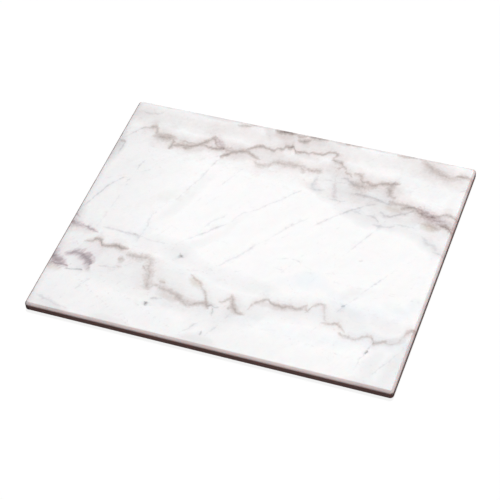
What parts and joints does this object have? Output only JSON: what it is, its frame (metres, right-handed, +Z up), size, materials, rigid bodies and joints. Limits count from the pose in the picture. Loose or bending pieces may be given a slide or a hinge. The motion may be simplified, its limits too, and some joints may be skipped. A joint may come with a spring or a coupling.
{
  "type": "marble pastry board",
  "caption": "Rectangular slab of polished white marble with warm veins and an eased top edge, standing on stuck-on rubber feet, for rolling and shaping dough.",
  "frame": {"origin": "on the worktop, under the middle of the board", "axes": "+X along the slab's long side, +Y along its short side, towards the back in the picture, +Z up out of the working face"},
  "size_m": [0.508, 0.4064, 0.0157],
  "materials": {
    "marble": "polished on top, honed round the edge and underneath",
    "foot_rubber": "moulded matt",
    "foam_tape": "acrylic foam, matt"
  },
  "bodies": {
    "root": {"marble_slab": "marble", "rubber_foot_front_left": "foot_rubber", "rubber_foot_front_right": "foot_rubber", "rubber_foot_rear_left": "foot_rubber", "rubber_foot_rear_right": "foot_rubber", "adhesive_disc_front_left": "foam_tape", "adhesive_disc_front_right": "foam_tape", "adhesive_disc_rear_left": "foam_tape", "adhesive_disc_rear_right": "foam_tape"}
  },
  "joints": []
}
